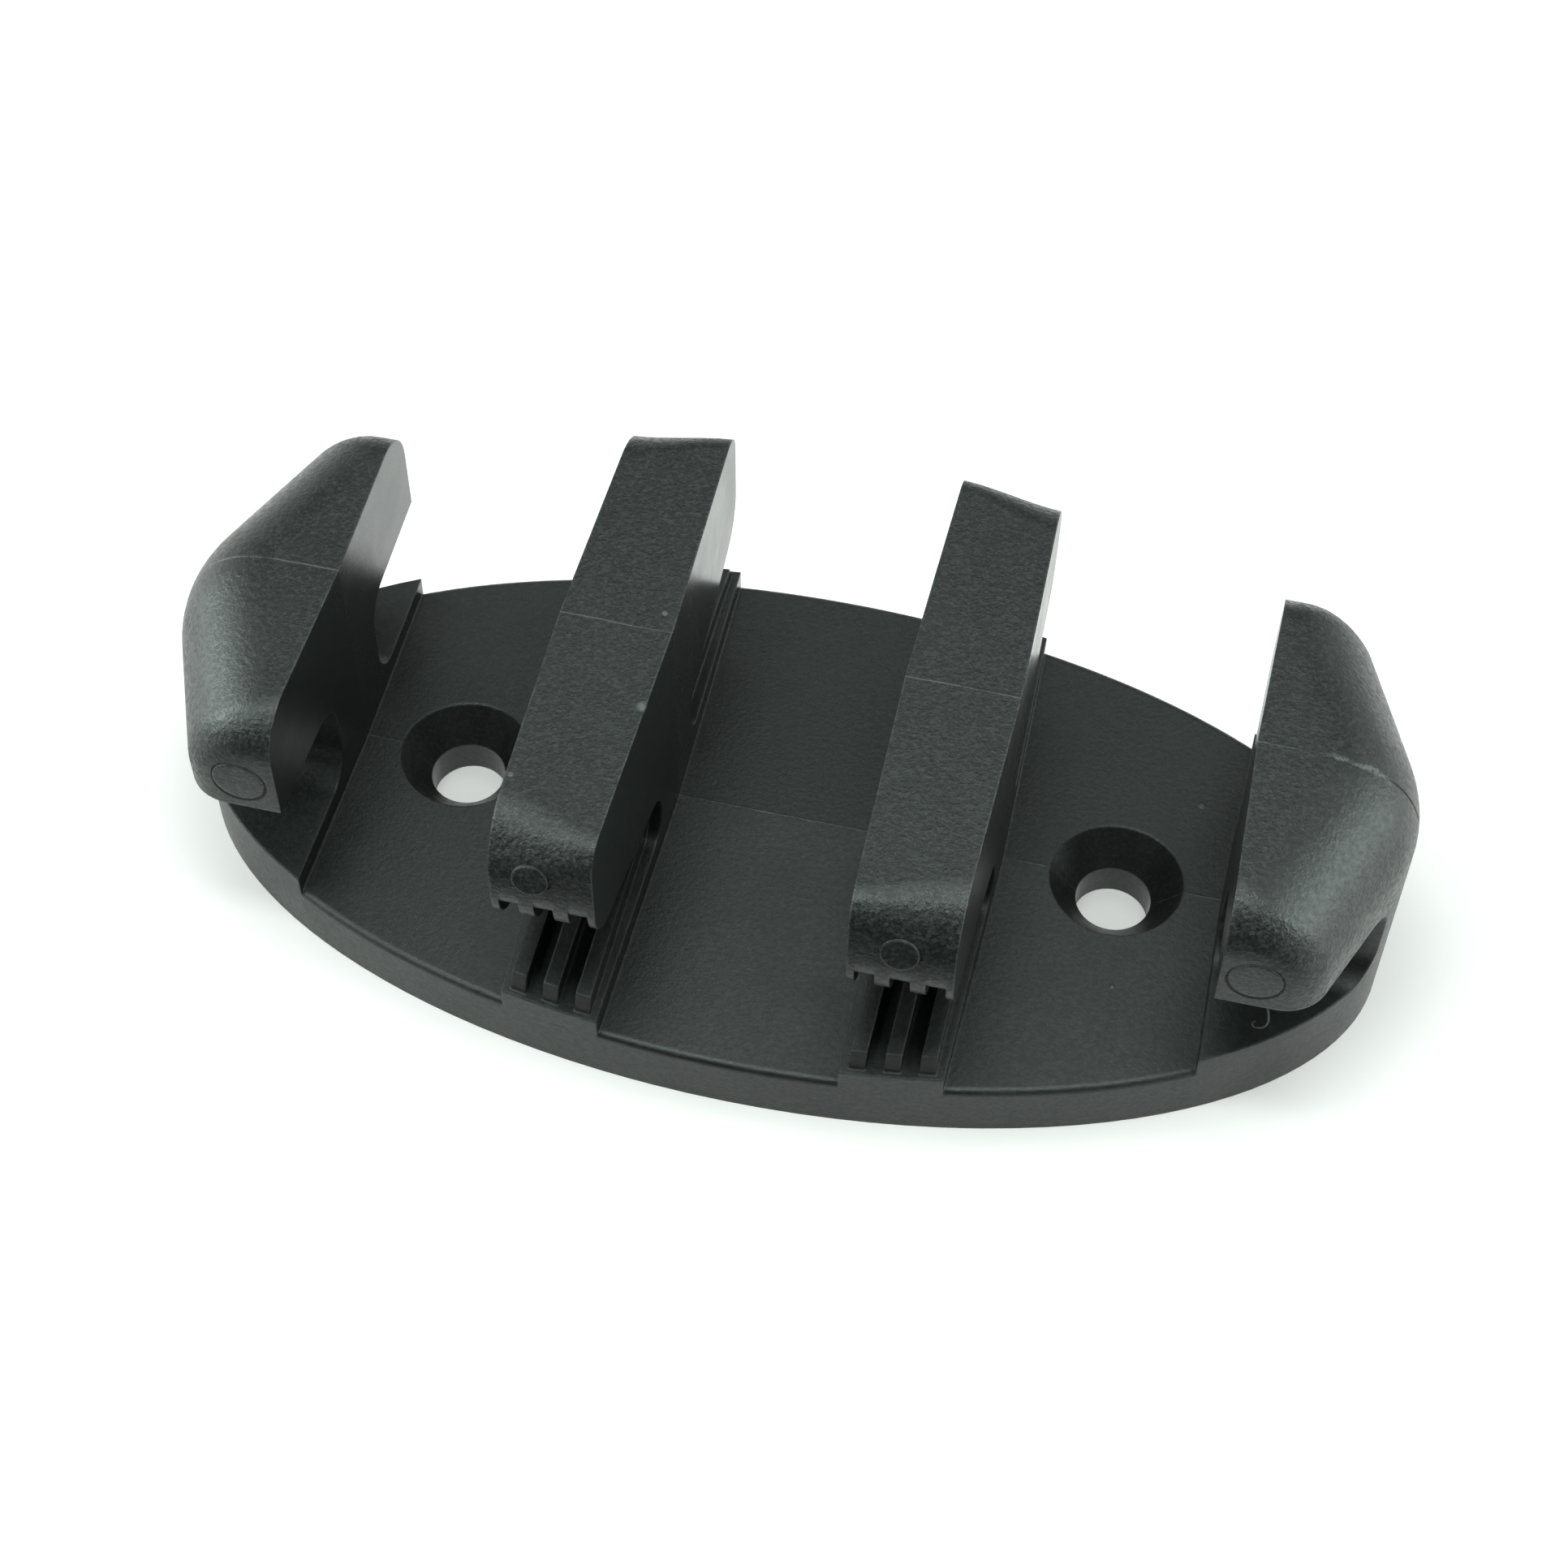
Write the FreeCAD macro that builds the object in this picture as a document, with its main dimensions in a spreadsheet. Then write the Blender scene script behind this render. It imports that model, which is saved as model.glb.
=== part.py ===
import FreeCAD, Part
import os
import Sketcher
from FreeCAD import Vector

# Zig zag cleat: one moulding with an oval base plate, two countersunk screw holes and four
# upright horns. Every horn is a short stem whose arms reach out over the plate on both sides,
# so a line laid zig zag between the horns is held under the arms.
# X runs along the plate, Y across it and Z up; the origin is the centre of the underside.
# The mould parts on y = 0 and opens along Y, so the faces that look along X or Z are drafted
# away from that plane. One mould half (y > 0) is modelled and mirrored.

doc = FreeCAD.newDocument("zigzag_cleat")
sizes = doc.addObject("Spreadsheet::Sheet", "sizes")

DRIVING_SIZES = [
    ("plate_length", 90.0, "oval base plate along X"),
    ("plate_width", 44.0, "oval base plate along Y"),
    ("plate_crown", 5.3, "thickness of the plate on the parting line"),
    ("rim_round", 0.5, "radius along the upper rim of the plate"),
    ("mould_draft", 1.2, "draft in degrees on each side of the parting line"),
    ("horn_height", 24.4, "top of the horns above the underside"),
    ("pad_crown", 6.85, "top of the raised pads on the parting line"),
    ("hole_offset", 0.35, "centre of a screw hole outward of the middle between two horns"),
    ("screw_bore", 5.6, "clearance bore for a 5 mm screw"),
    ("screw_head", 10.0, "mouth of the countersink"),
    ("head_angle", 82.0, "included angle of the countersink in degrees"),
    ("cutter_overrun", 1.0, "length by which the cutting tools stand out of the plate"),
    ("inner_start", 8.3, "face of an inner horn that looks at the middle of the plate"),
    ("inner_width", 8.2, "inner horn along X"),
    ("inner_stem", 4.4, "half depth of an inner horn's stem"),
    ("inner_root", 2.2, "radius where the stem meets the pad and the arms"),
    ("inner_setback", 1.85, "end of an inner horn's arm inside the plate's half width"),
    ("nose_middle", 2.2, "radius over the end of an inner arm, on its side towards the middle"),
    ("nose_outer", 4.6, "the same radius on the arm's other side"),
    ("jaw_mouth", 14.4, "level of the tooth line at the end of an inner arm"),
    ("jaw_angle", 10.7, "slope of the tooth line down to the stem in degrees"),
    ("tooth_pitch", 2.45, "spacing of the teeth, and of the ribs between them"),
    ("tooth_width", 1.05, "each tooth along X"),
    ("tooth_depth", 1.45, "height of the teeth"),
    ("tooth_lead", 3.6, "radius of the tooth line at the end of an inner arm"),
    ("notch_lead", 3.0, "the same radius between the teeth"),
    ("rib_width", 1.15, "each rib along X"),
    ("rib_rise", 1.4, "height of the ribs over their pad"),
    ("rib_setback", 0.45, "foot of a rib's ramp inside the rim"),
    ("rib_ramp", 0.57, "run of the ramp over the rise of the rib"),
    ("end_width", 12.2, "end horn along X, from its inner face to the end of the plate"),
    ("end_stem", 4.4, "half depth of an end horn's stem"),
    ("end_root", 2.8, "radius where the stem meets the pad and the arms"),
    ("end_reach", 15.2, "reach of an end horn's arms from the parting line"),
    ("end_ceiling", 14.95, "underside of an end horn's arms, taken on the parting line"),
    ("end_shoulder", 7.4, "radius over the outer side of an end horn"),
    ("end_nose", 3.9, "radius over the end of an end arm"),
    ("end_corner", 3.5, "radius of the outer corner of an end arm, carried up over its top"),
    ("edge_margin", 0.1, "least wall beside a rounded edge that is limited by its face"),
    ("roll_share", 0.8, "largest share of an end arm's depth that its rolled edge takes"),
]
for row, (alias, value, meaning) in enumerate(DRIVING_SIZES, start=1):
    sizes.set(f"A{row}", alias)
    sizes.set(f"B{row}", str(value))
    sizes.set(f"C{row}", meaning)
    sizes.setAlias(f"B{row}", alias)
doc.recompute()

# Expressions that several sketches share.
SLOPE = "tan(sizes.mould_draft)"
RIM = "sizes.plate_width / 2"
TIP = "sizes.plate_length / 2"
TOP = "sizes.horn_height"
OUTSIDE = "(sizes.plate_width / 2 + sizes.cutter_overrun)"
INNER_MIDDLE = "(sizes.inner_start + sizes.inner_width / 2)"
INNER_REACH = "(sizes.plate_width / 2 - sizes.inner_setback)"
END_START = "(sizes.plate_length / 2 - sizes.end_width)"


def number(expression):
    """Value of an expression of the sheet's sizes, in mm."""
    result = sizes.evalExpression(expression)
    return float(getattr(result, "Value", result))


def plane(body, role):
    """Origin plane of a body, such as XY_Plane."""
    return next(feature for feature in body.Origin.OriginFeatures if feature.Role == role)


def outline(body, name, role, corners):
    """Closed sketch on an origin plane. A corner is (across, up) or (across, up, radius)."""
    sketch = body.newObject("Sketcher::SketchObject", name)
    sketch.AttachmentSupport = [(plane(body, role), "")]
    sketch.MapMode = "FlatFace"
    points = [Vector(number(corner[0]), number(corner[1]), 0) for corner in corners]
    bindings = {}
    for i, point in enumerate(points):
        sketch.addGeometry(Part.LineSegment(point, points[(i + 1) % len(points)]), False)
    for i in range(len(points)):
        sketch.addConstraint(Sketcher.Constraint("Coincident", i, 2, (i + 1) % len(points), 1))
    for i, corner in enumerate(corners):
        for kind, value, expression in zip(("DistanceX", "DistanceY"), points[i], corner):
            index = sketch.addConstraint(Sketcher.Constraint(kind, -1, 1, i, 1, value))
            sketch.renameConstraint(index, f"{kind}_{i}")
            bindings[f"{kind}_{i}"] = expression
    doc.recompute()
    for i, corner in enumerate(corners):
        if len(corner) == 3:
            sketch.fillet((i - 1) % len(corners), 2, number(corner[2]), True, True)
            arc = next(k for k in reversed(range(sketch.GeometryCount))
                       if isinstance(sketch.Geometry[k], Part.ArcOfCircle))
            index = sketch.addConstraint(Sketcher.Constraint("Radius", arc, number(corner[2])))
            sketch.renameConstraint(index, f"Radius_{i}")
            bindings[f"Radius_{i}"] = corner[2]
    for constraint, expression in bindings.items():
        if "sizes." in expression:
            sketch.setExpression(f"Constraints.{constraint}", expression)
    doc.recompute()
    return sketch


def slab(name, role, corners, start, length, copies=None, spacing=None):
    """Body that is one outline padded along the plane's normal from start, in copies if asked."""
    body = doc.addObject("PartDesign::Body", name)
    sketch = outline(body, f"{name}_outline", role, corners)
    sketch.setExpression("AttachmentOffset.Base.z", start)
    feature = body.newObject("PartDesign::Pad", f"{name}_pad")
    feature.Profile = sketch
    feature.setExpression("Length", length)
    doc.recompute()
    if copies:
        pattern = body.newObject("PartDesign::LinearPattern", f"{name}_row")
        pattern.Originals = [feature]
        pattern.Direction = (sketch, ["N_Axis"])
        pattern.Occurrences = copies
        pattern.setExpression("Length", f"{copies - 1} * {spacing}")
        body.Tip = pattern
        doc.recompute()
    return body


def combine(kind, name, members):
    """Part boolean over several objects, with its coplanar faces joined."""
    feature = doc.addObject(kind, name)
    feature.Shapes = members
    feature.Refine = True
    doc.recompute()
    return feature


def mirrored(name, source, normal):
    feature = doc.addObject("Part::Mirroring", name)
    feature.Source = source
    feature.Normal = normal
    doc.recompute()
    return feature


def oval(name, inset, level):
    """Outline of the base plate, drawn in by inset, at a level."""
    ellipse = doc.addObject("Part::Ellipse", name)
    ellipse.setExpression("MajorRadius", f"{TIP} - {inset}")
    ellipse.setExpression("MinorRadius", f"{RIM} - {inset}")
    ellipse.setExpression("Placement.Base.z", level)
    doc.recompute()
    return ellipse


def below(level, y):
    """Level of an upper face at y, drafted down from its level on the parting line."""
    return f"{level} - {SLOPE} * {y}"


def above(level, y):
    """Level of a lower face at y, drafted up from its level on the parting line."""
    return f"{level} + {SLOPE} * {y}"


# Base plate: an oval column under a top that falls away from the parting line.
column = doc.addObject("Part::Extrusion", "column")
column.Base = oval("plan_oval", "0", "0")
column.DirMode = "Custom"
column.Dir = Vector(0, 0, 1)
column.Solid = True
column.setExpression("LengthFwd", TOP)
doc.recompute()

plate_section = slab("plate_section", "YZ_Plane", [
    ("0", "0"),
    (OUTSIDE, "0"),
    (OUTSIDE, below("sizes.plate_crown", OUTSIDE)),
    ("0", "sizes.plate_crown"),
], f"-({TIP}) - sizes.cutter_overrun", "sizes.plate_length + 2 * sizes.cutter_overrun")
sharp_plate = combine("Part::MultiCommon", "sharp_plate", [column, plate_section])


# Inner horn, seen along X: pad, stem and arm. The arm's underside is at the foot of the teeth.
def tooth_line(y, lift):
    return f"sizes.jaw_mouth + {lift} - tan(sizes.jaw_angle) * ({INNER_REACH} - {y})"


inner_side = slab("inner_side", "YZ_Plane", [
    ("0", "0"),
    (OUTSIDE, "0"),
    (OUTSIDE, below("sizes.pad_crown", OUTSIDE)),
    ("sizes.inner_stem", below("sizes.pad_crown", "sizes.inner_stem"), "sizes.inner_root"),
    ("sizes.inner_stem", tooth_line("sizes.inner_stem", "sizes.tooth_depth"), "sizes.inner_root"),
    (INNER_REACH, "sizes.jaw_mouth + sizes.tooth_depth", "sizes.notch_lead"),
    (INNER_REACH, TOP),
    ("0", TOP),
], "sizes.inner_start - sizes.tooth_pitch", "sizes.inner_width + 2 * sizes.tooth_pitch")

# Four teeth under the arm; the outer two are cut flush with the horn's sides.
TOOTH_BACK = "(sizes.jaw_mouth + sizes.tooth_depth + sizes.notch_lead)"
teeth = slab("teeth", "YZ_Plane", [
    ("0", "sizes.pad_crown + sizes.inner_root"),
    ("sizes.inner_stem", "sizes.pad_crown + sizes.inner_root"),
    ("sizes.inner_stem", tooth_line("sizes.inner_stem", "0"), "sizes.inner_root"),
    (INNER_REACH, "sizes.jaw_mouth", "sizes.tooth_lead"),
    (INNER_REACH, TOOTH_BACK),
    ("0", TOOTH_BACK),
], f"{INNER_MIDDLE} - 1.5 * sizes.tooth_pitch - sizes.tooth_width / 2",
    "sizes.tooth_width", 4, "sizes.tooth_pitch")
inner_plan = slab("inner_plan", "XY_Plane", [
    ("sizes.inner_start", "0"),
    ("sizes.inner_start + sizes.inner_width", "0"),
    (below("sizes.inner_start + sizes.inner_width", OUTSIDE), OUTSIDE),
    (above("sizes.inner_start", OUTSIDE), OUTSIDE),
], "0", TOP)
inner_body = combine("Part::MultiFuse", "inner_body", [inner_side, teeth])
sharp_inner = combine("Part::MultiCommon", "sharp_inner", [inner_body, inner_plan, column])

# The end of the arm is rounded over, more so on the side away from the middle of the plate. The
# radii are limited by the upright end face above the teeth.
INNER_NOSE = [f"min({size}; {TOP} - {TOOTH_BACK} - sizes.edge_margin)"
              for size in ("sizes.nose_middle", "sizes.nose_outer")]
inner_horn = doc.addObject("Part::Fillet", "inner_horn")
inner_horn.Base = sharp_inner
inner_horn.Edges = [
    (k, *(number(INNER_NOSE[vertex.X > number(INNER_MIDDLE)]) for vertex in edge.Vertexes))
    for k, edge in enumerate(sharp_inner.Shape.Edges, start=1)
    if edge.BoundBox.ZMin > number(TOP) - 0.01 and edge.BoundBox.YMin > number(INNER_REACH) - 0.01
]
doc.recompute()

# Three ribs on the inner pad, one under each gap between the teeth. They end in ramps that
# follow the rim.
rib_rows = slab("rib_rows", "YZ_Plane", [
    ("0", "0"),
    (OUTSIDE, "0"),
    (OUTSIDE, below("sizes.pad_crown + sizes.rib_rise", OUTSIDE)),
    ("0", "sizes.pad_crown + sizes.rib_rise"),
], f"{INNER_MIDDLE} - sizes.tooth_pitch - sizes.rib_width / 2",
    "sizes.rib_width", 3, "sizes.tooth_pitch")
rib_limit = doc.addObject("Part::Loft", "rib_limit")
rib_limit.Sections = [
    oval("ramp_foot", "sizes.rib_setback", below("sizes.pad_crown", RIM)),
    oval("ramp_head", "(sizes.rib_setback + 2 * sizes.rib_ramp)",
         below("sizes.pad_crown + 2 * sizes.rib_rise", RIM)),
]
rib_limit.Solid = True
rib_limit.Ruled = True
doc.recompute()
ribs = combine("Part::MultiCommon", "ribs", [rib_rows, rib_limit])

# End horn, seen along X.
end_side = slab("end_side", "YZ_Plane", [
    ("0", "0"),
    (OUTSIDE, "0"),
    (OUTSIDE, below("sizes.pad_crown", OUTSIDE)),
    ("sizes.end_stem", below("sizes.pad_crown", "sizes.end_stem"), "sizes.end_root"),
    ("sizes.end_stem", above("sizes.end_ceiling", "sizes.end_stem"), "sizes.end_root"),
    ("sizes.end_reach", above("sizes.end_ceiling", "sizes.end_reach")),
    ("sizes.end_reach", TOP),
    ("0", TOP),
], END_START, "sizes.end_width + sizes.cutter_overrun")

# Seen from above, pad and stem stay inside the oval, while the arms leave it along the
# tangent at the edge of the stem.
end_plan = slab("end_plan", "XY_Plane", [
    (END_START, "0"),
    (f"{TIP} + sizes.cutter_overrun", "0"),
    (f"{TIP} + sizes.cutter_overrun", OUTSIDE),
    (above(END_START, OUTSIDE), OUTSIDE),
], "0", TOP)
TANGENT_X = f"{TIP} * sqrt(1 - pow(sizes.end_stem / ({RIM}); 2))"
TANGENT_SLOPE = f"pow(sizes.plate_length / sizes.plate_width; 2) * sizes.end_stem / ({TANGENT_X})"
arm_plan = slab("arm_plan", "XY_Plane", [
    (END_START, "0"),
    (TANGENT_X, "0"),
    (TANGENT_X, "sizes.end_stem"),
    (f"{TANGENT_X} - {TANGENT_SLOPE} * (sizes.end_reach - sizes.end_stem)", "sizes.end_reach"),
    (END_START, "sizes.end_reach"),
], "(sizes.pad_crown + sizes.end_ceiling) / 2",
    f"{TOP} - (sizes.pad_crown + sizes.end_ceiling) / 2")
end_envelope = combine("Part::MultiFuse", "end_envelope", [column, arm_plan])
sharp_end = combine("Part::MultiCommon", "sharp_end", [end_side, end_plan, end_envelope])

# Rolled edge round the top of the end horn, wide over the outer side and tighter over the end
# of the arm. The wide roll is limited by the ridge where it meets the other one, which stays off
# the horn's inner face, and by the depth of the arm.
RIDGE_Y = "(sizes.end_reach - sizes.end_nose)"
RIDGE_RUN = (f"{TANGENT_X} - {TANGENT_SLOPE} * ({RIDGE_Y} - sizes.end_stem)"
             f" - ({above(END_START, RIDGE_Y)}) - sizes.edge_margin")
SHOULDER = (f"min(sizes.end_shoulder; ({RIDGE_RUN}) / sqrt(1 + pow({TANGENT_SLOPE}; 2));"
            f" sizes.roll_share * ({TOP} - sizes.end_ceiling))")
end_crown = doc.addObject("Part::Fillet", "end_crown")
end_crown.Base = sharp_end
crown = []
for k, edge in enumerate(sharp_end.Shape.Edges, start=1):
    middle = edge.CenterOfMass
    on_inner_face = middle.x < number(above(END_START, str(middle.y))) + 0.01
    if middle.z > number(TOP) - 0.01 and middle.y > 0.01 and not on_inner_face:
        at_arm_end = middle.y > number("sizes.end_reach") - 0.01
        radius = number("sizes.end_nose" if at_arm_end else SHOULDER)
        crown.append((middle.x, (k, radius, radius)))
end_crown.Edges = [entry for x, entry in sorted(crown, reverse=True)]
doc.recompute()

# The outer corner of the arm: its upright edge, and the ridge where the two rolled edges meet.
end_horn = doc.addObject("Part::Fillet", "end_horn")
end_horn.Base = end_crown
corner = [
    (edge.CenterOfMass.z, (k, number("sizes.end_corner"), number("sizes.end_corner")))
    for k, edge in enumerate(end_crown.Shape.Edges, start=1)
    if edge.BoundBox.ZLength > 0.5
    and edge.BoundBox.YMin > number("sizes.end_stem") + 0.01
    and edge.BoundBox.XMax > number(END_START) + 1
]
end_horn.Edges = [entry for z, entry in sorted(corner)]
doc.recompute()

# Horns of both ends on the plate, and the two mould halves together.
rim_edges = [k for k, edge in enumerate(sharp_plate.Shape.Edges, start=1)
             if edge.CenterOfMass.y > 1 and edge.CenterOfMass.z > number("sizes.plate_crown / 2")]
plate = doc.addObject("Part::Fillet", "plate")
plate.Base = sharp_plate
plate.Edges = [(k, number("sizes.rim_round"), number("sizes.rim_round")) for k in rim_edges]
doc.recompute()
horns = combine("Part::MultiFuse", "horns", [inner_horn, ribs, end_horn])
other_horns = mirrored("other_horns", horns, Vector(1, 0, 0))
mould_half = combine("Part::MultiFuse", "mould_half", [plate, horns, other_horns])
other_half = mirrored("other_half", mould_half, Vector(0, 1, 0))
moulding = combine("Part::MultiFuse", "moulding", [mould_half, other_half])

# Two countersunk screw holes, each between an inner and an end horn.
HOLE_X = f"(({END_START} + sizes.inner_start + sizes.inner_width) / 2 + sizes.hole_offset)"
SINK = "(sizes.screw_head - sizes.screw_bore) / 2 / tan(sizes.head_angle / 2)"
cutters = []
for side, x in (("left", f"-{HOLE_X}"), ("right", HOLE_X)):
    bore = doc.addObject("Part::Cylinder", f"bore_{side}")
    bore.setExpression("Radius", "sizes.screw_bore / 2")
    bore.setExpression("Height", "sizes.plate_crown + sizes.cutter_overrun")
    bore.setExpression("Placement.Base.x", x)
    bore.setExpression("Placement.Base.z", "-sizes.cutter_overrun")
    sink = doc.addObject("Part::Cone", f"countersink_{side}")
    sink.setExpression("Radius1", "sizes.screw_bore / 2")
    sink.setExpression("Radius2", "sizes.screw_head / 2 + sizes.cutter_overrun * tan(sizes.head_angle / 2)")
    sink.setExpression("Height", f"{SINK} + sizes.cutter_overrun")
    sink.setExpression("Placement.Base.x", x)
    sink.setExpression("Placement.Base.z", f"sizes.plate_crown - {SINK}")
    cutters += [bore, sink]
doc.recompute()
screw_holes = combine("Part::MultiFuse", "screw_holes", cutters)
cleat = doc.addObject("Part::Cut", "cleat")
cleat.Base = moulding
cleat.Tool = screw_holes
cleat.Refine = True
cleat.Label = "zigzag_cleat"
doc.recompute()

for feature in doc.Objects:
    if "Invalid" in feature.State or "Error" in feature.State:
        raise RuntimeError(f"{feature.Name} failed")
if cleat.Shape.isNull() or not cleat.Shape.isValid() or len(cleat.Shape.Solids) != 1:
    raise RuntimeError("the cleat is not one valid solid")
os.makedirs("parts", exist_ok=True)
cleat.Shape.exportStep(f"parts/{cleat.Label}.step")
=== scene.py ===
import math

import bmesh
import bpy
from mathutils import Matrix, Vector


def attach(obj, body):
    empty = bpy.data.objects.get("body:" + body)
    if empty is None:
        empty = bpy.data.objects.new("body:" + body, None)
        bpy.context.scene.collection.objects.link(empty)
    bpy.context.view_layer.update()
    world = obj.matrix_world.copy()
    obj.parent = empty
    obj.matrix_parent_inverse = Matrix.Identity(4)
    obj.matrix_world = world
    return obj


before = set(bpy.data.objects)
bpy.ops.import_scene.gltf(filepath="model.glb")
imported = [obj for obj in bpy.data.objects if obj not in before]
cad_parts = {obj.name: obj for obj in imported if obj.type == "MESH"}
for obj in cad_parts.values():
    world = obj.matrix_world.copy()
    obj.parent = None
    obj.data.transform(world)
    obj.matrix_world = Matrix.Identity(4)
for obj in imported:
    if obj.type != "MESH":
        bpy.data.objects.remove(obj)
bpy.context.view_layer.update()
MM = 0.001
NODE = "zigzag_cleat"

# Ejector pins on the ends of the arms, in mm: x, y, z, radius, and the degrees by which the flat end
# leans back. The ends of the inner and the end horns' arms lie at INNER_TIP and END_TIP.
INNER_TIP = 20.15
END_TIP = 15.2
INNER_PROUD = 0.3
END_PROUD = 0.03
INNER_LEAN = 13
PINS = {
    "pin_inner_left_near": (-13.05, -INNER_TIP - INNER_PROUD, 20.9, 1.3, INNER_LEAN),
    "pin_inner_right_near": (12.3, -INNER_TIP - INNER_PROUD, 20.85, 1.36, INNER_LEAN),
    "pin_inner_left_far": (-12.4, INNER_TIP + INNER_PROUD, 20.5, 1.33, INNER_LEAN),
    "pin_inner_right_far": (12.4, INNER_TIP + INNER_PROUD, 20.5, 1.33, INNER_LEAN),
    "pin_end_left_near": (-35.85, -END_TIP - 0.04, 18.15, 1.95, 0),
    "pin_end_right_near": (35.55, -END_TIP - END_PROUD, 18.2, 1.9, 0),
    "pin_end_left_far": (-35.7, END_TIP + END_PROUD, 18.1, 1.95, 0),
    "pin_end_right_far": (35.7, END_TIP + END_PROUD, 18.1, 1.95, 0),
}
# Section of a pin's end from its middle outwards: share of the radius, and height in mm.
PIN_CROWN = 0.004
PIN_BACK = -1.0
PIN_SECTION = [(0.62, PIN_CROWN), (0.86, 0.0), (0.95, -0.014), (0.99, -0.05), (1.0, -0.11),
               (1.0, PIN_BACK)]
PIN_SIDES = 56

# Curled thread of flash under the near arm of the right end horn, in mm.
CURL_PATH = [(36.7, -15.0, 15.3), (36.95, -15.25, 14.5), (37.0, -15.35, 13.7), (36.7, -15.4, 13.15),
             (36.2, -15.4, 13.05), (36.0, -15.35, 13.4), (36.2, -15.3, 13.6)]
CURL_RADIUS = 0.085
CURL_TAPER = 0.45
CURL_SIDES = 8
CURL_STEPS = 6

# Light specks on the surface, in mm: x, y, z, radius, strength.
SPECKS = [(-8.7, -6.8, 24.3, 0.55, 1.0), (30.15, 8.33, 5.11, 0.34, 0.45),
          (26.22, -9.2, 5.12, 0.26, 0.7), (-9.3, 1.6, 24.4, 0.3, 0.8), (-15.8, -14.5, 24.4, 0.3, 0.7)]

# Soft steps along the moulding, in metres: from the plate up to the horns, from the stems up to the
# arms, outwards to the roll of the end horns, and along the parting line of the right end horn to
# its torn stretch and to the seam beyond that.
GRAIN_RISE = (0.006, 0.018)
PLATE_TO_HORN_RISE = (0.007, 0.018)
ARMS_RISE = (0.011, 0.013)
SEAM_RISE = (0.012, 0.014)
LEAN_RISE = (0.015, 0.0215)
PAD_FALL = (0.0085, 0.0095)
ROLL_FROM = (0.034, 0.0355)
BEYOND_RIBS = (0.018, 0.019)
BEYOND_INNER_HORNS = (0.02, 0.023)
LAST_HORN_FROM = (0.0325, 0.033)
TEAR_FROM = (0.0372, 0.0388)
TEAR_TO = (0.0415, 0.0425)

# Noise in the nylon: scale per metre, detail, roughness.
GRAIN = (2500, 3, 0.6)
FINE_GRAIN = (5200, 2, 0.6)
CLOUDS = (260, 4, 0.55)
BROAD_CLOUDS = (60, 2, 0.5)
LINE_WANDER = (350, 2, 0.5)
LINE_BREAKS = (380, 4, 0.65)
RAGGED_EDGE = (1100, 3, 0.6)
TEAR_BREAKS = (1300, 3, 0.7)
HIGHLIGHT_BREAKS = (900, 3, 0.7)
GLASS_CELLS = 4200.0

# How far a surface looks to the side or to the ends of the arms, as soft steps.
SIDE_FACES = (0.9, 0.98)
END_FACES = (0.7, 0.97)
ROLLING_OVER = (0.15, 0.5)
ROLLED_OVER = (0.8, 0.96)

# Shares of the grain on the plate, taken off the side faces, and added where the arms roll over;
# share of the glass specks and their painted glints; depth of the relief and radius of the edges, in
# metres.
GRAIN_ON_PLATE = 0.45
GRAIN_OFF_SIDES = 0.96
GRAIN_ON_ROLLS = 0.75
GLASS_AND_GLINT_SHARE = 0.72
RELIEF_STRENGTH = 0.75
RELIEF_DEPTH = 0.095 * MM
GROOVE_DEPTH = 1.5
EDGE_RADIUS = 0.26 * MM
ARM_LEAN = 0.42
NYLON_IOR = 1.53

# Colours of the nylon: between and on the grain, in its cloudy patches, on glass specks with painted
# glints, of the painted highlight on edges, on flash, and of the painted shade in grooves and at the
# rib ends.
DARK_NYLON = (0.005, 0.0059, 0.0054, 1)
LIGHT_NYLON = (0.0102, 0.0118, 0.0109, 1)
CLOUDY_NYLON = (0.0122, 0.014, 0.013, 1)
GLASS_AND_GLINT_SPECK = (0.046, 0.051, 0.05, 1)
EDGE_HIGHLIGHT_TONE = (0.095, 0.103, 0.1, 1)
PALE_FLASH = (0.15, 0.16, 0.155, 1)
GROOVE_SHADE = (0.003, 0.003, 0.003, 1)


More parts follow.
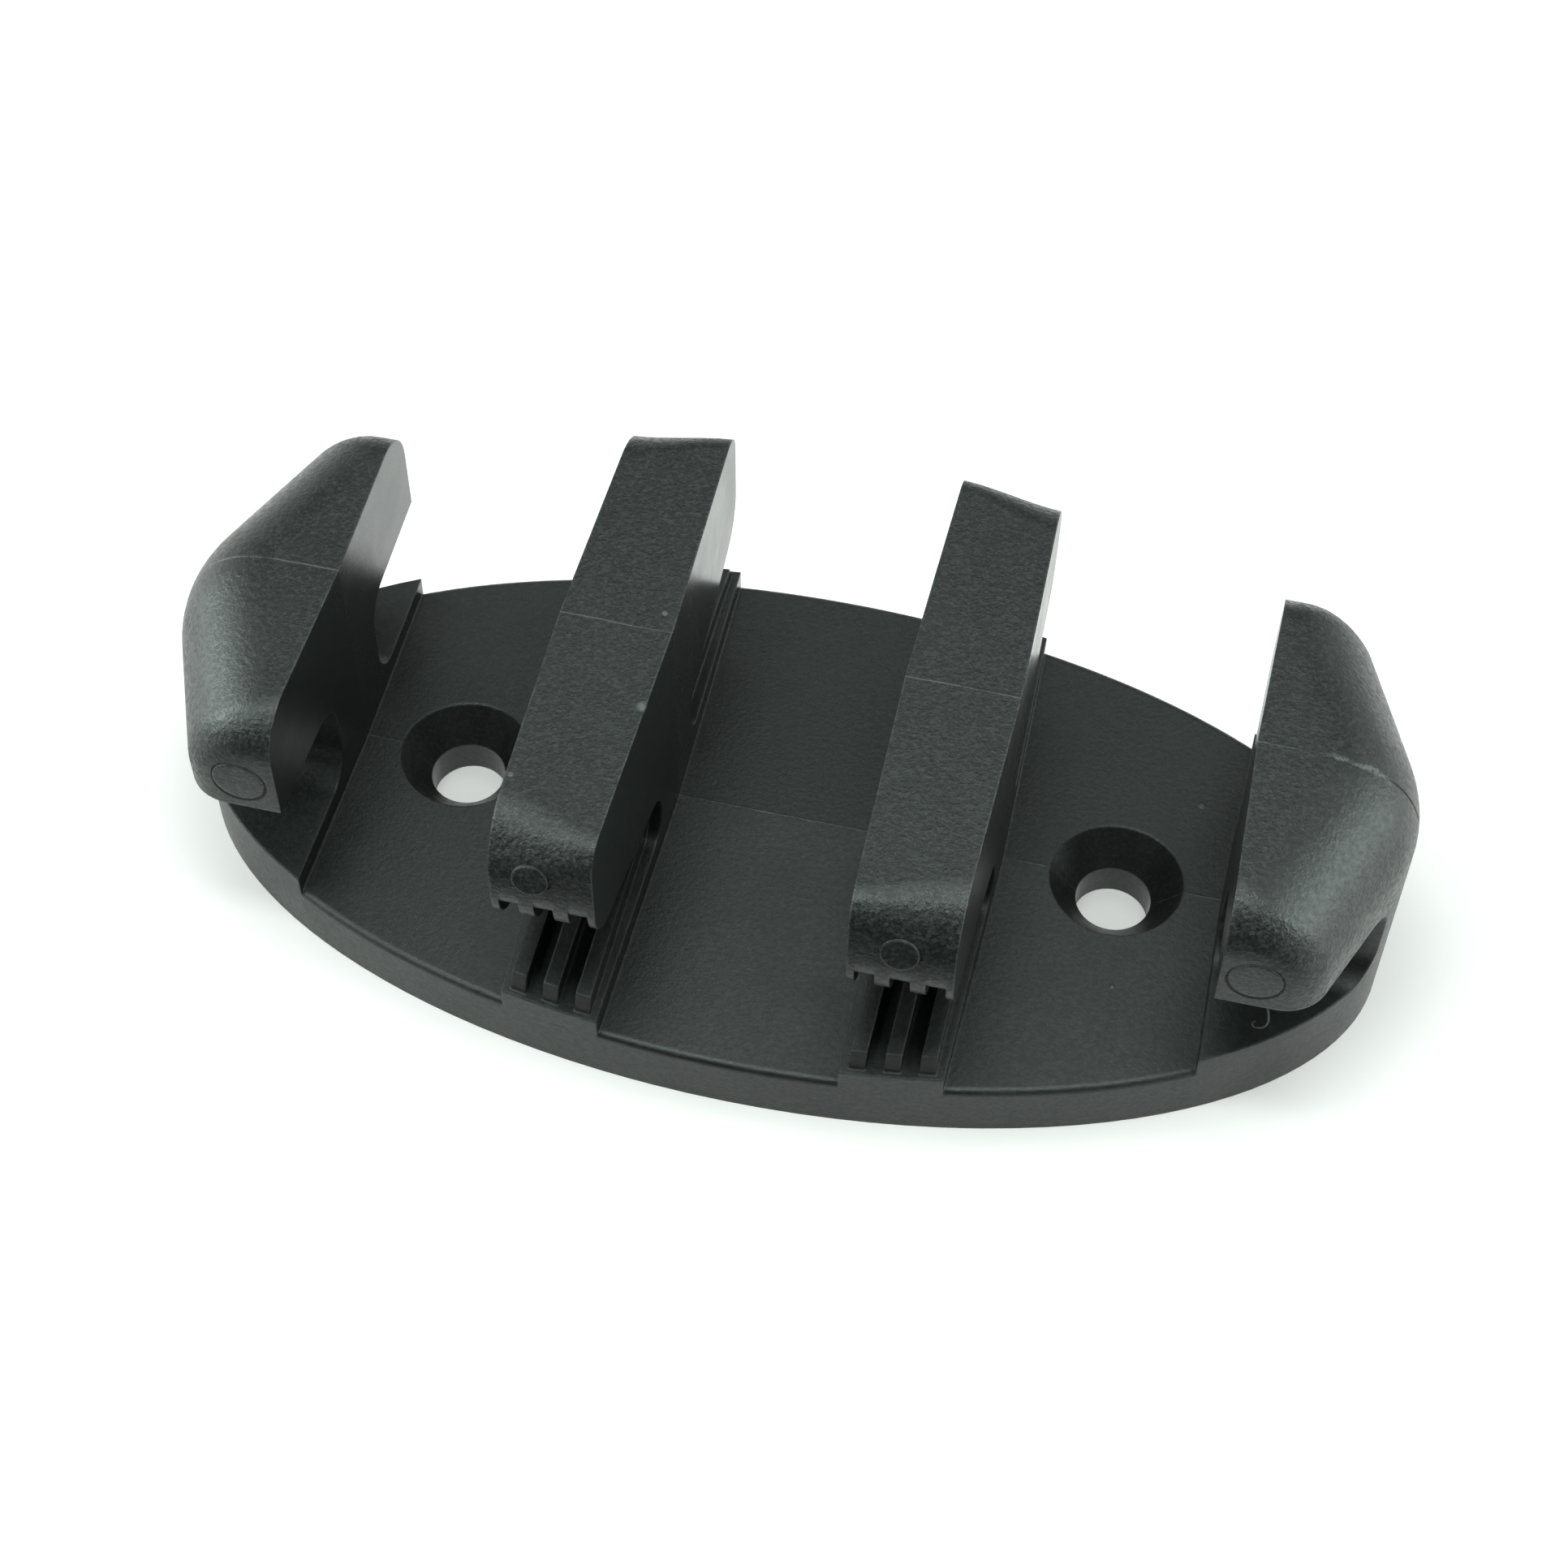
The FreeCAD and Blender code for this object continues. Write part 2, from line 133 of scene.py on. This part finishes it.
# Node helpers.
class Graph:
    """Short calls to build a node tree."""

    def __init__(self, tree):
        self.tree = tree
        tree.nodes.clear()

    def add(self, kind, **inputs):
        node = self.tree.nodes.new(kind)
        for key, value in inputs.items():
            self.set(node, key, value)
        return node

    def set(self, node, key, value):
        socket = node.inputs[key if not isinstance(key, str) else key.replace("_", " ")]
        if isinstance(value, bpy.types.NodeSocket):
            self.tree.links.new(value, socket)
        else:
            socket.default_value = value

    def fill(self, kind, values, **settings):
        """A node with its first inputs filled in order; an input given as None is left alone."""
        node = self.tree.nodes.new(kind)
        for key, value in settings.items():
            setattr(node, key, value)
        for i, value in enumerate(values):
            if value is not None:
                self.set(node, i, value)
        return node.outputs

    def math(self, operation, a, b=None):
        return self.fill("ShaderNodeMath", (a, b), operation=operation)[0]

    def vector(self, operation, a, b=None):
        outputs = self.fill("ShaderNodeVectorMath", (a, b), operation=operation)
        return outputs["Value" if operation in ("LENGTH", "DISTANCE", "DOT_PRODUCT") else "Vector"]

    def split(self, vector):
        return self.add("ShaderNodeSeparateXYZ", Vector=vector).outputs

    def absolute(self, value):
        return self.math("ABSOLUTE", value)

    def minus(self, a, b):
        return self.math("SUBTRACT", a, b)

    def larger(self, a, b):
        return self.math("MAXIMUM", a, b)

    def times(self, *factors):
        result = factors[0]
        for factor in factors[1:]:
            result = self.math("MULTIPLY", result, factor)
        return result

    def plus(self, *terms):
        result = terms[0]
        for term in terms[1:]:
            result = self.math("ADD", result, term)
        return result

    def ramp(self, value, low, high, to_low=0.0, to_high=1.0):
        return self.fill("ShaderNodeMapRange", (value, low, high, to_low, to_high),
                         interpolation_type="SMOOTHSTEP")[0]

    def fall(self, value, low, high):
        return self.ramp(value, low, high, 1.0, 0.0)

    def noise(self, vector, scale, detail=2.0, roughness=0.5):
        return self.add("ShaderNodeTexNoise", Vector=vector, Scale=scale, Detail=detail,
                        Roughness=roughness).outputs["Fac"]

    def mix(self, factor, a, b):
        node = self.tree.nodes.new("ShaderNodeMix")
        node.data_type = "RGBA"
        for i, value in ((0, factor), (6, a), (7, b)):
            self.set(node, i, value)
        return node.outputs[2]

    def bump(self, height, strength, distance, normal=None):
        node = self.add("ShaderNodeBump", Height=height, Strength=strength, Distance=distance)
        if normal is not None:
            self.set(node, "Normal", normal)
        return node.outputs[0]

    def finish(self, kind, surface):
        self.set(self.add(kind), "Surface", surface)


def material(name):
    m = bpy.data.materials.new(name)
    m.use_nodes = True
    return m, Graph(m.node_tree)


def parting_line(g, place, x, y, z, clear_of_sides):
    """Parting line of the mould on y = 0, as flash and groove.

    It is a thin raised line, torn on the roll of the right end horn, with a groove beyond it darkened
    with painted shade.
    Light specks lie elsewhere on the surface.
    """
    wander = g.minus(g.noise(place, *LINE_WANDER), 0.5)
    tear = g.minus(g.noise(place, *RAGGED_EDGE), 0.5)
    off_line = g.absolute(g.plus(y, g.times(wander, 0.25 * MM)))
    off_tear = g.absolute(g.plus(y, g.times(wander, 0.6 * MM), g.times(tear, 1.1 * MM)))
    presence = g.times(g.ramp(g.noise(place, *LINE_BREAKS), 0.38, 0.66, 0.15, 1.0),
                       g.ramp(x, *LAST_HORN_FROM, 1.0, 0.3), g.ramp(z, *PLATE_TO_HORN_RISE, 0.3, 0.8))
    torn = g.times(g.ramp(x, *TEAR_FROM), g.fall(x, *TEAR_TO),
                   g.ramp(g.noise(place, *TEAR_BREAKS), 0.36, 0.56, 0.15, 1.0))
    line = g.times(g.fall(off_line, 0.02 * MM, 0.1 * MM), clear_of_sides)
    torn_line = g.fall(off_tear, 0.05 * MM, 0.3 * MM)
    flash = g.larger(g.times(line, presence), g.times(torn_line, torn))
    for sx, sy, sz, radius, strength in SPECKS:
        reach = g.vector("DISTANCE", place, (sx * MM, sy * MM, sz * MM))
        ragged = g.plus(reach, g.times(tear, 0.9 * radius * MM))
        flash = g.larger(flash, g.ramp(ragged, 0.3 * radius * MM, radius * MM, strength, 0.0))
    shaded_groove = g.times(g.fall(off_line, 0.03 * MM, 0.14 * MM), g.ramp(x, *TEAR_TO),
                     g.ramp(z, *SEAM_RISE))
    return flash, shaded_groove


def shaded_pin_groove(g, x, y, z, pin):
    """Thin groove round an ejector pin, darkened with painted shade, widest below; round a leaning
    pin it shows only there.
    """
    cx, cy, cz, radius, lean = pin
    dx = g.minus(x, cx * MM)
    dz = g.minus(z, cz * MM)
    away = g.math("SQRT", g.plus(g.times(dx, dx), g.times(dz, dz)))
    ring = g.absolute(g.minus(away, (radius + 0.03) * MM))
    this_end = g.math("LESS_THAN", g.absolute(g.minus(y, cy * MM)), 2.5 * MM)
    width = g.ramp(dz, -radius * MM, radius * 0.6 * MM, 0.19 * MM, 0.08 * MM)
    mark = g.times(this_end, g.fall(g.math("DIVIDE", ring, width), 0.3, 1.0))
    if lean:
        mark = g.times(mark, g.fall(dz, -0.5 * radius * MM, 0.2 * radius * MM))
    return mark


def moulded_nylon():
    """Black glass-filled nylon out of a spark-eroded mould."""
    m, g = material("moulded_nylon")
    coordinates = g.add("ShaderNodeTexCoord").outputs
    place = coordinates["Object"]
    x, y, z = g.split(place)
    facing = g.split(coordinates["Normal"])
    facing_x, facing_y = g.absolute(facing[0]), g.absolute(facing[1])

    # Smooth side faces of the horns, ends of the arms, and where those ends roll over.
    sideways = g.times(g.ramp(facing_x, *SIDE_FACES), g.fall(g.absolute(x), *ROLL_FROM))
    clear_of_sides = g.minus(1.0, g.times(sideways, 0.95))
    endways = g.times(g.ramp(facing_y, *END_FACES), g.ramp(z, *ARMS_RISE))
    rolled = g.times(g.ramp(facing_y, *ROLLING_OVER), g.ramp(facing_y, *ROLLED_OVER, 1.0, 0.15),
                     g.ramp(z, *ARMS_RISE))

    # Grain of the mould, finer specks in it, and slow cloudiness. The grain is a little weaker on
    # the plate, where the mould is worn smoother, and coarser where the ends of the arms roll over;
    # there the painted glints of the specks are stronger too.
    grain = g.noise(place, *GRAIN)
    fine = g.noise(place, *FINE_GRAIN)
    cloud = g.noise(place, *CLOUDS)
    broad = g.noise(place, *BROAD_CLOUDS)
    depth = g.times(g.ramp(z, *GRAIN_RISE, GRAIN_ON_PLATE, 1.0),
                    g.minus(1.0, g.times(sideways, GRAIN_OFF_SIDES)),
                    g.plus(g.times(rolled, GRAIN_ON_ROLLS), 1.0))

    flash, shaded_groove = parting_line(g, place, x, y, z, clear_of_sides)
    for pin in PINS.values():
        shaded_groove = g.larger(shaded_groove, shaded_pin_groove(g, x, y, z, pin))

    # Edges are slightly rounded, and lightened in places with a painted highlight.
    edges = g.add("ShaderNodeBevel", Radius=EDGE_RADIUS)
    edges.samples = 4
    turn = g.vector("DOT_PRODUCT", edges.outputs[0], coordinates["Normal"])
    painted_edge_highlight = g.times(g.ramp(g.minus(1.0, turn), 0.01, 0.12),
                   g.ramp(g.noise(place, *HIGHLIGHT_BREAKS), 0.38, 0.6),
                   g.ramp(z, *PLATE_TO_HORN_RISE, 0.45, 1.0), clear_of_sides)

    # Colour: glass specks in the grain, partly painted glints, and painted shade on the ramps at the
    # ends of the ribs.
    cell = g.split(g.add("ShaderNodeTexVoronoi", Vector=place, Scale=GLASS_CELLS).outputs["Color"])
    # Glass specks, partly painted glints.
    glass_and_glint_specks = g.times(g.plus(g.times(g.ramp(cell[0], 0.45, 1.0), 0.55),
                            g.times(g.ramp(fine, 0.45, 0.75), 0.5)), depth, GLASS_AND_GLINT_SHARE)
    # Painted shade on the ramps at the ends of the ribs, which face up and towards the near side.
    rib_end_shade = g.times(g.ramp(facing[2], 0.2, 0.4), g.fall(facing[2], 0.85, 0.95),
                     g.ramp(facing_y, 0.3, 0.5), g.fall(z, *PAD_FALL),
                     g.fall(g.absolute(x), *BEYOND_RIBS))
    # Grooves and the ramps at the rib ends are darkened with painted shade.
    colour = g.mix(g.ramp(grain, 0.3, 0.7), DARK_NYLON, LIGHT_NYLON)
    for share, tone in ((g.times(g.ramp(cloud, 0.35, 0.7), 0.3), CLOUDY_NYLON), (glass_and_glint_specks, GLASS_AND_GLINT_SPECK),
                        (g.times(painted_edge_highlight, 0.8), EDGE_HIGHLIGHT_TONE), (g.times(flash, 0.75), PALE_FLASH),
                        (g.larger(shaded_groove, g.times(rib_end_shade, 0.8)), GROOVE_SHADE)):
        colour = g.mix(share, colour, tone)

    # Gloss: the side faces are smoother, most of all in the far half.
    roughness = g.plus(g.ramp(cloud, 0.3, 0.7, 0.37, 0.42),
                       g.times(g.ramp(grain, 0.35, 0.65, 0.07, -0.07), depth),
                       g.ramp(broad, 0.35, 0.65, -0.015, 0.02), g.times(shaded_groove, 0.4),
                       g.times(sideways, g.ramp(y, -0.01, 0.004, -0.03, -0.13)),
                       g.times(endways, -0.04))

    # Relief. The ends of the arms lean back a little towards the top.
    rise = g.times(endways, g.ramp(z, *LEAN_RISE, 0.0, ARM_LEAN),
                   g.ramp(g.absolute(x), *BEYOND_INNER_HORNS, 1.0, 0.3))
    leaning = g.vector("ADD", edges.outputs[0], g.add("ShaderNodeCombineXYZ", Z=rise).outputs[0])
    height = g.times(g.plus(g.times(grain, 0.7), g.times(fine, 0.3)), depth)
    marks = g.minus(flash, g.times(shaded_groove, GROOVE_DEPTH))
    relief = g.bump(g.plus(height, marks), RELIEF_STRENGTH, RELIEF_DEPTH,
                    g.vector("NORMALIZE", leaning))

    shader = g.add("ShaderNodeBsdfPrincipled", Base_Color=colour, Roughness=roughness, Normal=relief,
                   IOR=NYLON_IOR)
    g.finish("ShaderNodeOutputMaterial", shader.outputs[0])
    return m


nylon = moulded_nylon()
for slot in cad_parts[NODE].material_slots:
    slot.material = nylon


def add_piece(name, bm, place=Matrix()):
    """A small smooth detail of the moulding, in its finish. The bmesh and its place are in mm."""
    for face in bm.faces:
        face.smooth = True
    mesh = bpy.data.meshes.new(name)
    bm.to_mesh(mesh)
    bm.free()
    mesh.transform(Matrix.Scale(MM, 4) @ place)
    piece = bpy.data.objects.new(name, mesh)
    bpy.context.scene.collection.objects.link(piece)
    mesh.materials.append(nylon)
    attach(piece, "root")


def join_rings(bm, rings):
    """Quads from each ring of vertices to the next."""
    for a, b in zip(rings, rings[1:]):
        for i in range(len(a)):
            j = (i + 1) % len(a)
            bm.faces.new((a[i], b[i], b[j], a[j]))


def pin_mark(name, x, y, z, radius, lean):
    """Flat end of an ejector pin: a low disc with a slightly rounded rim."""
    bm = bmesh.new()
    rings = []
    for r, h in PIN_SECTION:
        rings.append([bm.verts.new((r * radius * math.cos(math.tau * i / PIN_SIDES),
                                    r * radius * math.sin(math.tau * i / PIN_SIDES), h))
                      for i in range(PIN_SIDES)])
    middle = bm.verts.new((0, 0, PIN_CROWN))
    back = bm.verts.new((0, 0, PIN_BACK))
    for i in range(PIN_SIDES):
        j = (i + 1) % PIN_SIDES
        bm.faces.new((middle, rings[0][i], rings[0][j]))
        bm.faces.new((back, rings[-1][j], rings[-1][i]))
    join_rings(bm, rings)
    tilt = math.radians(lean)
    outward = Vector((0, math.copysign(math.cos(tilt), y), math.sin(tilt)))
    turn = outward.to_track_quat("Z", "Y").to_matrix().to_4x4()
    add_piece(name, bm, Matrix.Translation((x, y, z)) @ turn)


for name, place in PINS.items():
    pin_mark(name, *place)


def smooth_path(points, steps):
    """A curve through all the points, with this many steps from each one to the next."""
    last = len(points) - 1
    path = []
    for i in range(last):
        p0, p1, p2, p3 = (Vector(points[max(0, min(last, i + k))]) for k in (-1, 0, 1, 2))
        for step in range(steps):
            t = step / steps
            path.append(0.5 * (2 * p1 + (p2 - p0) * t + (2 * p0 - 5 * p1 + 4 * p2 - p3) * t * t
                               + (3 * p1 - p0 - 3 * p2 + p3) * t * t * t))
    path.append(Vector(points[-1]))
    return path


def flash_thread(name, points, radius):
    """A curled thread of flash: a thin tube along the points that tapers to its end."""
    bm = bmesh.new()
    path = smooth_path(points, CURL_STEPS)
    last = len(path) - 1
    rings = []
    for i, point in enumerate(path):
        along = (path[min(i + 1, last)] - path[max(i - 1, 0)]).normalized()
        across = along.cross(Vector((0, 1, 0.2))).normalized()
        other = along.cross(across)
        thin = radius * (1.0 - CURL_TAPER * i / last)
        rings.append([bm.verts.new(point + thin * (math.cos(a) * across + math.sin(a) * other))
                      for a in (math.tau * k / CURL_SIDES for k in range(CURL_SIDES))])
    join_rings(bm, rings)
    bm.faces.new(list(reversed(rings[0])))
    bm.faces.new(rings[-1])
    bmesh.ops.recalc_face_normals(bm, faces=bm.faces)
    add_piece(name, bm)


flash_thread("flash_curl", CURL_PATH, CURL_RADIUS)

# Floor: its level, its pale tones, the tone of its front part in reflections, and the half lengths of
# the base plate's oval round which its contact shade runs. Lengths in metres.
FLOOR_LEVEL = -0.00002
FLOOR_SIZE = 20.0
PALE_FLOOR = ((0.85, 0.79, 0.78, 1), (0.87, 0.81, 0.80, 1))
DARK_FLOOR = (0.05, 0.05, 0.05, 1)
OVAL_X = 0.045
OVAL_Y = 0.022


def floor_material():
    """White sweep that keeps the object's shadow, deepest against the plate.

    In reflections it is bright behind the object and dark in front of it.
    """
    m, g = material("pale_floor")
    place = g.add("ShaderNodeTexCoord").outputs["Object"]
    rays = g.add("ShaderNodeLightPath").outputs
    y = g.split(place)[1]
    tone = g.ramp(g.noise(place, 90, 3, 0.5), 0.3, 0.7)
    in_front = g.times(rays["Is Glossy Ray"], g.ramp(y, -0.07, -0.042, 0.9, 0.0))
    colour = g.mix(in_front, g.mix(tone, *PALE_FLOOR), DARK_FLOOR)

    oval = g.add("ShaderNodeMapping", Vector=place, Scale=(1 / OVAL_X, 1 / OVAL_Y, 0.0)).outputs[0]
    contact = g.ramp(g.vector("LENGTH", oval), 1.0, 1.18, 0.14, 0.0)
    lift = g.minus(g.ramp(g.vector("LENGTH", place), 0.12, 0.8, 0.4, 1.0), contact)
    seen = g.times(rays["Is Camera Ray"], lift)
    behind = g.times(g.ramp(y, -0.03, 0.03, 0.1, 0.6), g.minus(1.0, in_front))
    mirrored = g.times(g.larger(rays["Is Glossy Ray"], rays["Is Transmission Ray"]), behind)

    shader = g.add("ShaderNodeBsdfPrincipled", Base_Color=colour, Roughness=0.9,
                   Specular_IOR_Level=0.1, Normal=g.bump(g.noise(place, 900, 2, 0.5), 0.05, 0.1 * MM),
                   Emission_Color=(1, 1, 1, 1), Emission_Strength=g.plus(seen, mirrored))
    g.finish("ShaderNodeOutputMaterial", shader.outputs[0])
    return m


bpy.ops.mesh.primitive_grid_add(x_subdivisions=4, y_subdivisions=4, size=FLOOR_SIZE,
                                location=(0, 0, FLOOR_LEVEL))
floor = bpy.context.object
floor.name = "floor"
floor.data.materials.append(floor_material())

# Light: soft boxes round the object, turned to it. Place and size in metres, then radiance.
LIGHT_COLOUR = (0.85, 1.0, 0.96)
LIGHT_LEVEL = 1.15
AIM = Vector((0, 0, 0.01))
SOFT_BOXES = {
    "top_strip": ((0, -0.122, 0.993), (0.8, 0.15), 9.8),
    "far_top_box": ((0, 0.36, 0.93), (0.5, 0.4), 1.5),
    "left_low_box": ((-0.951, 0, 0.309), (0.6, 0.56), 5.6),
    "left_high_box": ((-0.707, 0, 0.707), (0.5, 0.5), 1.4),
    "right_low_box": ((0.93, 0.1, 0.36), (0.8, 0.7), 2.9),
    "right_high_box": ((0.707, 0, 0.707), (0.5, 0.5), 0.8),
    "near_left_box": ((-0.5, -0.5, 0.707), (0.5, 0.5), 1.7),
    "far_right_box": ((0.579, 0.579, 0.574), (0.5, 0.5), 0.8),
}
for name, (place, size, radiance) in SOFT_BOXES.items():
    data = bpy.data.lights.new(name, "AREA")
    data.shape = "RECTANGLE"
    data.size, data.size_y = size
    data.energy = radiance * LIGHT_LEVEL * math.pi * size[0] * size[1]
    data.color = LIGHT_COLOUR
    lamp = bpy.data.objects.new(name, data)
    bpy.context.scene.collection.objects.link(lamp)
    lamp.location = place
    lamp.rotation_euler = (AIM - lamp.location).to_track_quat("-Z", "Y").to_euler()

# Room: a white backdrop; in reflections it is bright behind and to the sides, softer overhead and
# dim on the near side.
DIMMEST = 0.02
world = bpy.data.worlds.new("studio")
bpy.context.scene.world = world
world.use_nodes = True
g = Graph(world.node_tree)
way = g.split(g.add("ShaderNodeTexCoord").outputs["Generated"])
beside = g.ramp(g.absolute(way[0]), 0.45, 0.8, 0.04, 0.75)
behind = g.times(g.ramp(way[1], 0.3, 0.8), g.ramp(way[2], 0.2, 0.45, 0.65, 0.0))
overhead = g.ramp(way[2], 0.62, 0.8, 0.0, 0.6)
mirrored = g.larger(g.larger(beside, behind), overhead)
rays = g.add("ShaderNodeLightPath").outputs
glossy = g.larger(rays["Is Glossy Ray"], rays["Is Transmission Ray"])
strength = g.larger(g.larger(rays["Is Camera Ray"], g.times(glossy, mirrored)), DIMMEST)
room = g.add("ShaderNodeBackground", Color=(0.97, 1, 0.99, 1), Strength=strength)
g.finish("ShaderNodeOutputWorld", room.outputs[0])

# Camera: where it stands, and the directions of its picture.
EYE = Vector((0.027566, -0.123975, 0.180063))
RIGHT = Vector((0.97367, 0.22787, 0.00711))
DOWN = Vector((0.18701, -0.78048, -0.59656))
FORWARD = Vector((-0.13039, 0.58218, -0.80254))
camera_data = bpy.data.cameras.new("camera")
camera_data.lens = 66.24
camera_data.sensor_width = 36.0
camera_data.clip_start = 0.005
camera = bpy.data.objects.new("camera", camera_data)
bpy.context.scene.collection.objects.link(camera)
facing = Matrix((RIGHT, -DOWN, -FORWARD)).transposed()
camera.matrix_world = Matrix.Translation(EYE) @ facing.to_4x4()
bpy.context.scene.camera = camera

bpy.context.scene.view_settings.view_transform = "Standard"

bpy.context.view_layer.update()
